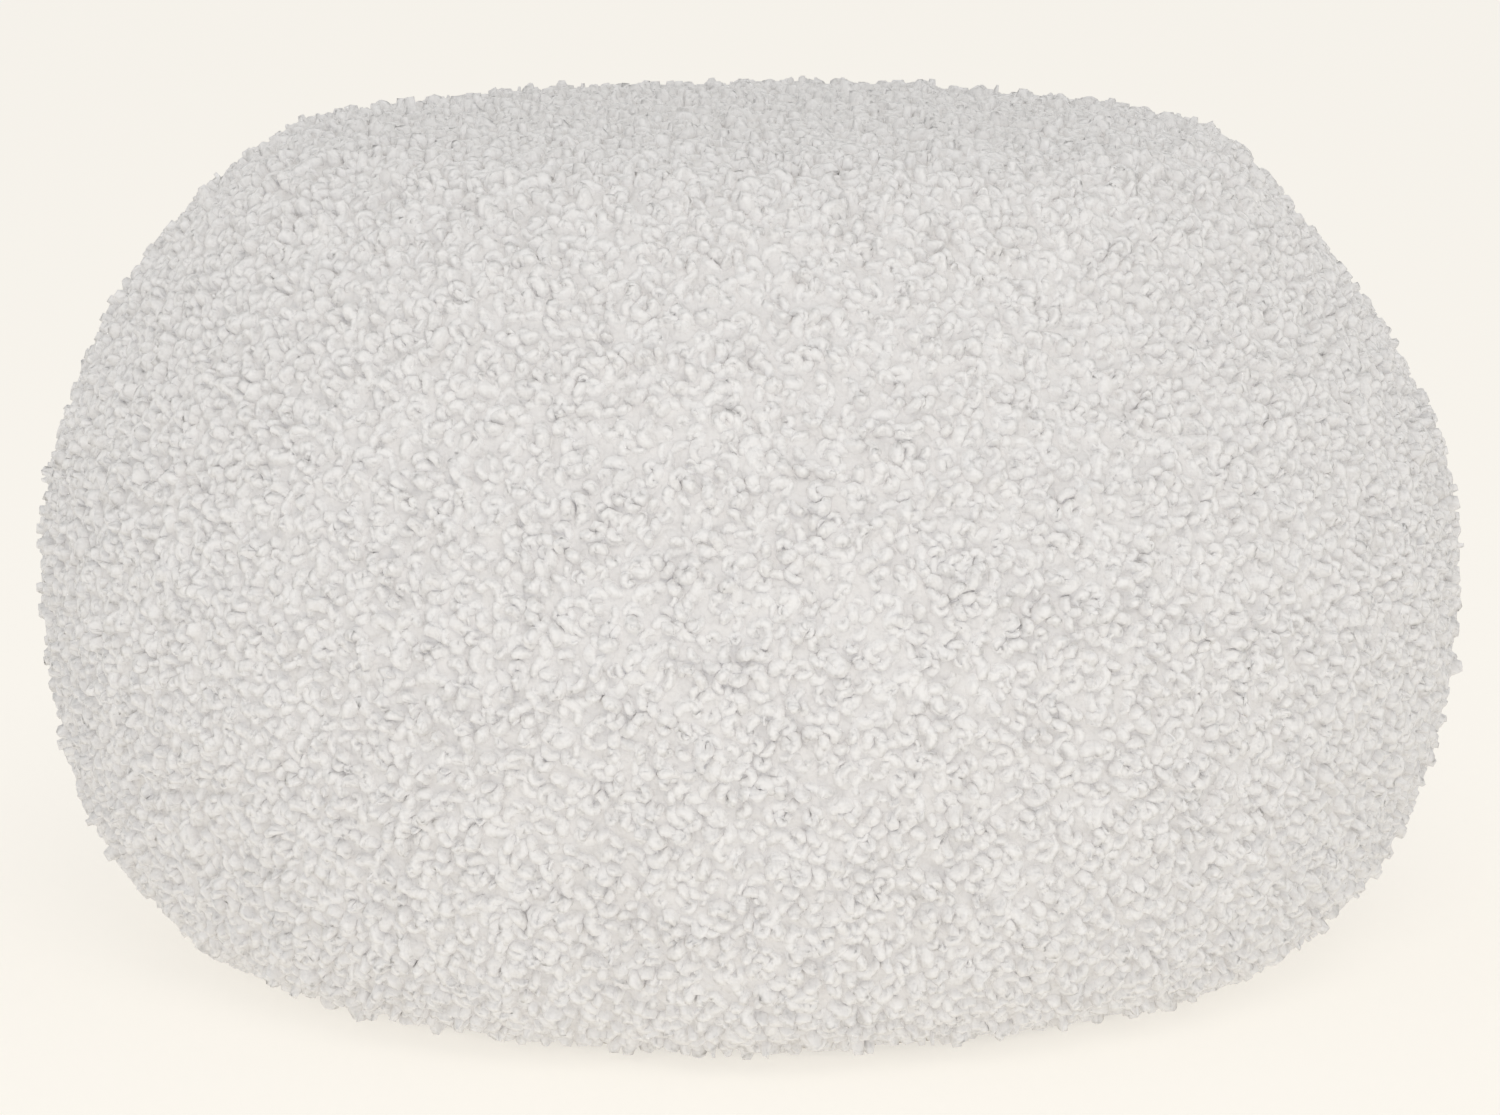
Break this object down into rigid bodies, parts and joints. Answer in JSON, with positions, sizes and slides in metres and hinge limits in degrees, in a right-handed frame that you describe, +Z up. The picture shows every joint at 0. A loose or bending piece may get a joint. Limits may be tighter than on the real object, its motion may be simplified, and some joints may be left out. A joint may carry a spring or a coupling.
{
  "type": "pouf",
  "caption": "Round floor pouf in curly-pile cloth, with a low domed top, a full side panel drawn in to its seams and a plain flat base.",
  "frame": {"origin": "on the floor, under the middle of the pouf", "axes": "+Z up; -Y towards the side that the picture shows; +X to the right of that side"},
  "size_m": [0.5968, 0.5983, 0.3487],
  "materials": {
    "curly_pile": "matt off-white curly pile, short looped and twisted tufts in all directions",
    "base_cloth": "matt plain weave, off-white"
  },
  "bodies": {
    "root": {"top_panel": "curly_pile", "side_panel": "curly_pile", "base_panel": "base_cloth"}
  },
  "joints": []
}
